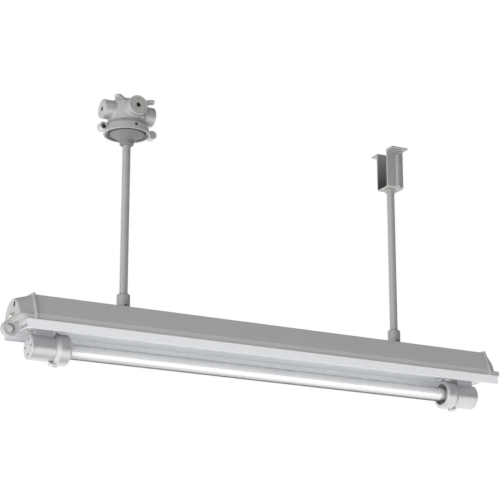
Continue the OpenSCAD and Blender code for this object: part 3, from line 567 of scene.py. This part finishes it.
def screws_tree():
    """One screw at each vertex, all along one axis, each turned by its own chance angle."""
    tree, given = shape_tree(
        "seated_screws",
        (("Screw", "Object"), ("Axis", "Vector"), ("Seed", "Int"), ("Material", "Material")),
    )
    seats = add_node(tree, "GeometryNodeMeshToPoints", {"Mesh": given["Geometry"]})
    screw = add_node(tree, "GeometryNodeObjectInfo", {"Object": given["Screw"]})
    along = add_node(tree, "FunctionNodeAlignRotationToVector", {"Vector": given["Axis"]}, axis="Z")
    sockets = {
        "Points": seats.outputs["Points"],
        "Instance": screw.outputs["Geometry"],
        "Rotation": along.outputs["Rotation"],
    }
    placed = add_node(tree, "GeometryNodeInstanceOnPoints", sockets)
    chance = add_node(tree, "FunctionNodeRandomValue", {"Seed": given["Seed"]}, data_type="FLOAT")
    chance.inputs["Max"].default_value = math.pi
    turn = add_node(tree, "ShaderNodeCombineXYZ", {"Z": chance.outputs["Value"]})
    sockets = {
        "Instances": placed.outputs["Instances"],
        "Rotation": turn.outputs["Vector"],
        "Local Space": True,
    }
    turned = add_node(tree, "GeometryNodeRotateInstances", sockets)
    end_tree(tree, turned.outputs["Instances"], given["Material"])
    return tree


seated_screws = screws_tree()


def grown(name, start, tree, values):
    """The plain mesh that a tree grows from a starting mesh."""
    holder = bpy.data.objects.new(name, start)
    bpy.context.scene.collection.objects.link(holder)
    growth = holder.modifiers.new("growth", "NODES")
    growth.node_group = tree
    for socket in tree.interface.items_tree:
        if socket.in_out == "INPUT" and socket.name in values:
            growth[socket.identifier] = values[socket.name]
    return plain_mesh(holder)


def screw_ring(form, height, radius, sides):
    """A loop of vertices round the screw's axis, on a circle or on a hexagon."""
    half = math.tau / HEXAGON / 2
    loop = []
    for i in range(CORNERS):
        angle = math.tau * i / CORNERS
        reach = radius
        if sides == HEXAGON:
            off = (angle + half) % (2 * half) - half
            reach = radius * math.cos(half) / math.cos(abs(off) - half)
        loop.append(form.verts.new((reach * math.cos(angle), reach * math.sin(angle), height)))
    return loop


def screw_form(name, rings):
    """A closed screw along +Z, its seat at zero, in millimetres. A ring is (height, radius, sides)."""
    form = bmesh.new()
    loops = [screw_ring(form, *ring) for ring in rings]
    for low, high in zip(loops, loops[1:]):
        for i in range(CORNERS):
            j = (i + 1) % CORNERS
            form.faces.new((low[i], low[j], high[j], high[i]))
    form.faces.new(tuple(reversed(loops[0])))
    form.faces.new(tuple(loops[-1]))
    bmesh.ops.scale(form, vec=(MM, MM, MM), verts=form.verts)
    bmesh.ops.recalc_face_normals(form, faces=form.faces)
    data = bpy.data.meshes.new(name)
    form.to_mesh(data)
    form.free()
    return data


def pan_screw(name, length, shank, head, side, top, height, socket, depth):
    """A pan-head screw with a hexagon socket. shank, head, top and socket are radii,
    side is how high the head's side goes up."""
    return screw_form(name, (
        (-length, shank, ROUND), (0.0, shank, ROUND),
        (0.0, head, ROUND), (side, head, ROUND), (height, top, ROUND),
        (height, socket, HEXAGON), (height - depth, socket, HEXAGON),
    ))


def screw_seats(node, seat_z):
    """Where each of a CAD node's separate screws sits, in millimetres, at one height."""
    solid = merged_solid(node)
    waiting = set(solid.verts)
    seats = []
    while waiting:
        screw = [waiting.pop()]
        for vertex in screw:
            for line in vertex.link_edges:
                other = line.other_vert(vertex)
                if other in waiting:
                    waiting.remove(other)
                    screw.append(other)
        ends = [[pick(vertex.co[axis] for vertex in screw) for pick in (min, max)] for axis in (0, 1)]
        middle = [round(sum(pair) / 2 / MM, 1) for pair in ends]
        seats.append((*middle, seat_z))
    solid.free()
    return sorted(seats)


def place_screws(name, form, node, seat_z, axis):
    """Puts a copy of one plated screw on each seat, as one piece in place of the CAD node."""
    pattern = bpy.data.objects.new(name + "_pattern", form)
    bpy.context.scene.collection.objects.link(pattern)
    points = bpy.data.meshes.new(name + "_seats")
    points.from_pydata([tuple(value * MM for value in seat) for seat in screw_seats(node, seat_z)], [], [])
    values = {"Screw": pattern, "Axis": axis, "Seed": SCREW_SEED, "Material": bright_zinc}
    data = grown(name + "_growth", points, seated_screws, values)
    bpy.data.objects.remove(pattern)
    piece = new_piece(name, data, bright_zinc, "fixture", "bright_steel", node)
    piece.data.shade_flat()


housing_paint = skinned_material(
    "flat_grey_paint", (0.455, 0.449, 0.438), metallic=0.0,
    mottle=(14.0, 0.03), grain=(800.0, 0.6), gloss=(0.50, 0.58), bump=0.04,
)
ballast_enamel = skinned_material(
    "ballast_enamel", (0.70, 0.70, 0.67), metallic=0.0,
    mottle=(30.0, 0.05), grain=(700.0, 0.4), gloss=(0.35, 0.42), bump=0.04,
)
finish(housing_paint, "housing")
finish(ballast_enamel, "ballast")
finish(bright_zinc, "ballast_tray")
tray_screw = pan_screw(
    "tray_screw", length=6.0, shank=2.4, head=4.5, side=1.4, top=2.6, height=3.0, socket=1.5, depth=1.6
)
place_screws("ballast_screws_pan", tray_screw, "ballast_screws", TRAY_Z + BALLAST_FOOT, UP)

# End boxes: one casting each, with an arched box on a flat foot.
# The left one also carries the cast eye below its foot.
MIDDLE_X = sum(cad_span("housing", "X")) / 2
BOX_IN, BOX_OUT = (place - MIDDLE_X for place in cad_span("right_end_box", "X"))
HOOD_RIM = 7.5
HOOD_FACE = 5.0
FOOT_HEIGHT = 11.0
HOOD_LOW_Z = cad_span("right_end_box", "Z")[0] + FOOT_HEIGHT
HOOD_SHADE = 0.25
eye = next(mount for mount in frame["record"]["mounts"] if mount["name"] == "cast_eye")
EYE_X, EYE_Z = (round(eye["pos_m"][axis] / MM, 2) for axis in (0, 2))
EYE_CHAMFER = 0.8
EYE_HOLE = eye["dims"]["r_mm"] + EYE_CHAMFER
EYE_FACE = 0.3
EYE_HALF = eye["dims"]["length_mm"] / 2 - EYE_FACE
EYE_SHADE = 0.6


def end_box_shade(spot):
    """Painted shade in the hole of the cast eye, and a lighter painted shade on the hood's sides."""
    if math.hypot(spot.x - EYE_X, spot.z - EYE_Z) < EYE_HOLE and abs(spot.y) < EYE_HALF:
        return EYE_SHADE
    reach = abs(spot.x - MIDDLE_X)
    on_hood = BOX_IN + HOOD_RIM < reach < BOX_OUT - HOOD_FACE and spot.z > HOOD_LOW_Z
    return HOOD_SHADE if on_hood else 0.0


grey_cast = skinned_material(
    "grey_paint_on_cast_metal", (0.48, 0.475, 0.47), metallic=0.15,
    mottle=(45.0, 0.08), grain=(700.0, 0.7), gloss=(0.46, 0.56), bump=0.10, wear_and_edge_highlight=(0.3, 0.03),
)
for side in ("left", "right"):
    new_piece(
        side + "_end_box_casting", cast_form(side + "_end_box", voxel=1.3, edge=1.8, shade=end_box_shade),
        grey_cast, "fixture", "cast_alloy", side + "_end_box",
    )
finish(dark_steel, "face_plugs")
finish(bright_zinc, "eye_pad_nut")

# Reflector: one folded steel sheet in white baked enamel, held up by four screws.
# The sheet over the lamp gets a greyer copy of the lips' enamel as painted shade.
white_enamel = skinned_material(
    "white_baked_enamel", (0.82, 0.83, 0.85), metallic=0.0,
    mottle=(9.0, 0.02), grain=(350.0, 0.3), gloss=(0.22, 0.28), bump=0.03, coat=0.3,
)
# Painted shade: the lips' white enamel, greyed, for the sheet's underside over the lamp.
shaded_trough_enamel = skinned_material(
    "trough_enamel_greyed_as_painted_shade", (0.55, 0.565, 0.595), metallic=0.0,
    mottle=(9.0, 0.02), grain=(350.0, 0.3), gloss=(0.30, 0.36), bump=0.03, coat=0.1,
)
finish(white_enamel, "front_lip", "back_lip")
finish(shaded_trough_enamel, "reflector")
sheet_screw = pan_screw(
    "sheet_screw", length=9.5, shank=2.5, head=5.0, side=1.2, top=3.0, height=3.0, socket=1.8, depth=1.6
)
REFLECTOR_Z = cad_span("reflector", "Z")[0]
place_screws("reflector_screws_pan", sheet_screw, "reflector_screws", REFLECTOR_Z, DOWN)

# Lampholders: turned castings on saddle plates, with screwed collars
# that squeeze a rubber packing on the glass.
LAMP_Z = sum(cad_span("glass_tube", "Z")) / 2
COLLAR_REACH = cad_span("right_collar", "X")[0] - MIDDLE_X
MOUTH = 28.6
MOUTH_EDGE = 0.5
MOUTH_SHADE = 0.65
SADDLE = 5.0


def mouth_shade(spot):
    """Painted shade in the collar's recess, between the glass and its rim."""
    reach = abs(spot.x - MIDDLE_X)
    inside = math.hypot(spot.y, spot.z - LAMP_Z) < MOUTH and reach > COLLAR_REACH + MOUTH_EDGE
    return MOUTH_SHADE if inside else 0.0


silver_cast = skinned_material(
    "silver_paint_on_cast_metal", (0.57, 0.57, 0.58), metallic=0.7,
    mottle=(45.0, 0.08), grain=(700.0, 0.7), gloss=(0.34, 0.44), bump=0.10, wear_and_edge_highlight=(0.3, 0.05),
)
for side in ("left", "right"):
    for part, shade in (("lampholder", None), ("collar", mouth_shade)):
        new_piece(
            side + "_" + part + "_casting", cast_form(side + "_" + part, voxel=1.0, edge=1.3, shade=shade),
            silver_cast, "fixture", "cast_alloy", side + "_" + part,
        )
saddle_screw = screw_form("saddle_screw", (
    (-9.8, 3.0, ROUND), (0.0, 3.0, ROUND),
    (0.0, 5.7, ROUND), (1.0, 5.7, ROUND),
    (1.0, 5.2, HEXAGON), (3.4, 5.2, HEXAGON), (4.0, 4.5, HEXAGON),
))
place_screws("saddle_screws_hexagon", saddle_screw, "saddle_screws", REFLECTOR_Z - SADDLE, DOWN)
finish(bright_zinc, "collar_lock_screws")
packing_rubber = skinned_material(
    "pressed_black_rubber", (0.025, 0.025, 0.025), metallic=0.0,
    mottle=(150.0, 0.1), grain=(900.0, 0.5), gloss=(0.6, 0.75), bump=0.1,
)
finish(packing_rubber, "glass_packings")

# End caps: turned covers with four blind spanner holes.
# A cap's thread shows as it is screwed out, with the socket behind it.
CAP_START, CAP_FACE = (place - MIDDLE_X for place in cad_span("right_cap", "X"))
CAP_HEAD = 6.0
THREAD_END = CAP_FACE - CAP_HEAD
THREAD_ROOT = 26.1
THREAD_PITCH = 2.0
THREAD_TOOTH = 0.65
THREAD_TURNS = 5.0
THREAD_LEAD = 1.0
THREAD_STEPS = 72
TOOTH_SIDES = 4
SHOULDER = 0.3
SPANNER_REACH = 19.5
SPANNER_HOLE = 3.6
SPANNER_BOTTOM = 0.5
SPANNER_SHADE = 0.97


def spanner_shade(spot):
    """Painted shade in the four spanner holes."""
    reach = abs(spot.x - MIDDLE_X)
    across, up = abs(spot.y), abs(spot.z - LAMP_Z)
    near = math.hypot(max(across, up) - SPANNER_REACH, min(across, up)) < SPANNER_HOLE
    return SPANNER_SHADE if near and THREAD_END + SPANNER_BOTTOM < reach < CAP_FACE - SHOULDER else 0.0


def thread_tree():
    """A tooth swept along a helix round +Z."""
    sizes = ("Turns", "Pitch", "Root", "Tooth")
    tree, given = shape_tree("screw_thread", [(size, "Float") for size in sizes] + [("Material", "Material")])
    sockets = {
        "Resolution": THREAD_STEPS,
        "Rotations": given["Turns"],
        "Start Radius": given["Root"],
        "End Radius": given["Root"],
        "Height": worked_out(tree, "MULTIPLY", given["Turns"], given["Pitch"]),
    }
    helix = add_node(tree, "GeometryNodeCurveSpiral", sockets)
    sockets = {"Resolution": TOOTH_SIDES, "Radius": given["Tooth"]}
    tooth = add_node(tree, "GeometryNodeCurvePrimitiveCircle", sockets)
    sockets = {
        "Curve": helix.outputs["Curve"],
        "Profile Curve": tooth.outputs["Curve"],
        "Fill Caps": True,
    }
    end_tree(tree, add_node(tree, "GeometryNodeCurveToMesh", sockets).outputs["Mesh"], given["Material"])
    return tree


def cut_to_root(casting):
    """Takes the cap's plain shank down to the bottom of its thread."""
    for vertex in casting.vertices:
        reach = abs(vertex.co.x / MM - MIDDLE_X)
        across, up = vertex.co.y / MM, vertex.co.z / MM - LAMP_Z
        off = math.hypot(across, up)
        if reach < THREAD_END - SHOULDER and off > THREAD_ROOT:
            vertex.co.y = across * THREAD_ROOT / off * MM
            vertex.co.z = (LAMP_Z + up * THREAD_ROOT / off) * MM
    casting.update()
    return casting


screw_thread = thread_tree()
thread_values = {
    "Turns": THREAD_TURNS,
    "Pitch": THREAD_PITCH * MM,
    "Root": THREAD_ROOT * MM,
    "Tooth": THREAD_TOOTH * MM,
    "Material": bright_zinc,
}
for side, outward in (("left", -1.0), ("right", 1.0)):
    casting = cut_to_root(cast_form(side + "_cap", voxel=0.8, edge=1.0, shade=spanner_shade))
    new_piece(side + "_cap_casting", casting, silver_cast, side + "_screw_cap", "cast_alloy", side + "_cap")
    start = bpy.data.meshes.new(side + "_thread_start")
    ridge = grown(side + "_thread_growth", start, screw_thread, thread_values)
    thread_x = MIDDLE_X + outward * (CAP_START + THREAD_LEAD)
    place = Matrix.Translation((thread_x * MM, 0.0, LAMP_Z * MM))
    ridge.transform(place @ Matrix.Rotation(outward * math.pi / 2, 4, "Y"))
    new_piece(side + "_cap_thread", ridge, bright_zinc, side + "_screw_cap", "bright_steel")
    finish(moulded_white, side + "_socket")

# Lamp: a glass tube with a white coating inside, and drawn metal caps with two pins each.
# The coating looks smooth and glossy through the thin glass.
LAMP_WHITE = (0.90, 0.90, 0.90)
lamp_white, lamp_shader, lamp_tree = plain_material("white_coated_lamp", LAMP_WHITE, 0.0, 0.3)
lamp_sockets = {"Colour": (*LAMP_WHITE, 1.0), "Mottle": 0.01, "Gloss Low": 0.24, "Gloss High": 0.30}
lamp_coating = add_node(lamp_tree, "ShaderNodeGroup", lamp_sockets, node_tree=painted_skin).outputs
lamp_tree.links.new(lamp_coating["Colour"], lamp_shader.inputs["Base Color"])
lamp_tree.links.new(lamp_coating["Roughness"], lamp_shader.inputs["Roughness"])
finish(lamp_white, "lamp_glass")
lamp_cap_metal = skinned_material(
    "drawn_aluminium", (0.75, 0.75, 0.76), metallic=0.9,
    mottle=(120.0, 0.06), grain=(1500.0, 0.4), gloss=(0.25, 0.35), bump=0.05,
)
finish(lamp_cap_metal, "lamp_caps")

# Glass tube round the lamp: drawn from thick clear glass, with a bright surface.
# A painted shade darkens its lower wall only: where it is seen at a slant, a grey tint and a dark diffuse are
# mixed in.
# Light passes it as if it weren't there, so it throws no hard shadow.
GLASS_CLEAR = (0.965, 0.968, 0.968)
GLASS_SHADE_TINT = (0.36, 0.36, 0.36, 1.0)
GLASS_PAINTED_SHADE = (0.10, 0.10, 0.10, 1.0)
GLASS_PASSED = (0.97, 0.97, 0.97, 1.0)
TINT_SLANT = (0.3, 0.75)
DARK_SLANT = (0.18, 0.68)
LOWER_WALL = (0.4, -0.4)
LOWER_SHARE = (0.0, 0.95)

clear_glass, glass_shader, glass_tree = plain_material("clear_tube_glass", GLASS_CLEAR, 0.0, 0.03)
glass_shader.inputs["Transmission Weight"].default_value = 1.0
glass_shader.inputs["IOR"].default_value = 1.47
glass_shader.inputs["Coat Weight"].default_value = 1.0
glass_shader.inputs["Coat IOR"].default_value = 2.2
glass_shader.inputs["Coat Roughness"].default_value = 0.03
glass_way = add_node(glass_tree, "ShaderNodeNewGeometry").outputs["Normal"]
glass_up = add_node(glass_tree, "ShaderNodeSeparateXYZ", {0: glass_way}).outputs["Z"]
# Painted shade is limited to the lower wall, which faces down.
painted_shade_lower_wall = ramp(glass_tree, glass_up, LOWER_WALL, LOWER_SHARE)
glass_slant = add_node(glass_tree, "ShaderNodeLayerWeight", {"Blend": 0.5}).outputs["Facing"]
shade_tint_share = ramp(glass_tree, glass_slant, TINT_SLANT, (0.0, painted_shade_lower_wall))
painted_shade_share = ramp(glass_tree, glass_slant, DARK_SLANT, (0.0, painted_shade_lower_wall))
glass_shaded_colour = mixed(glass_tree, shade_tint_share, (*GLASS_CLEAR, 1.0), GLASS_SHADE_TINT, data_type="RGBA")
glass_tree.links.new(glass_shaded_colour, glass_shader.inputs["Base Color"])
# The dark diffuse is painted shade, mixed in by the viewing slant.
glass_shade_diffuse = add_node(glass_tree, "ShaderNodeBsdfDiffuse", {"Color": GLASS_PAINTED_SHADE}).outputs[0]
glass_wall = mixed_shader(glass_tree, painted_shade_share, glass_shader.outputs[0], glass_shade_diffuse)
glass_path = add_node(glass_tree, "ShaderNodeLightPath").outputs
glass_unlit = worked_out(glass_tree, "MAXIMUM", glass_path["Is Shadow Ray"], glass_path["Is Diffuse Ray"])
glass_pass = add_node(glass_tree, "ShaderNodeBsdfTransparent", {"Color": GLASS_PASSED}).outputs[0]
glass_whole = mixed_shader(glass_tree, glass_unlit, glass_wall, glass_pass)
glass_tree.links.new(glass_whole, glass_tree.nodes["Material Output"].inputs["Surface"])
finish(clear_glass, "glass_tube")
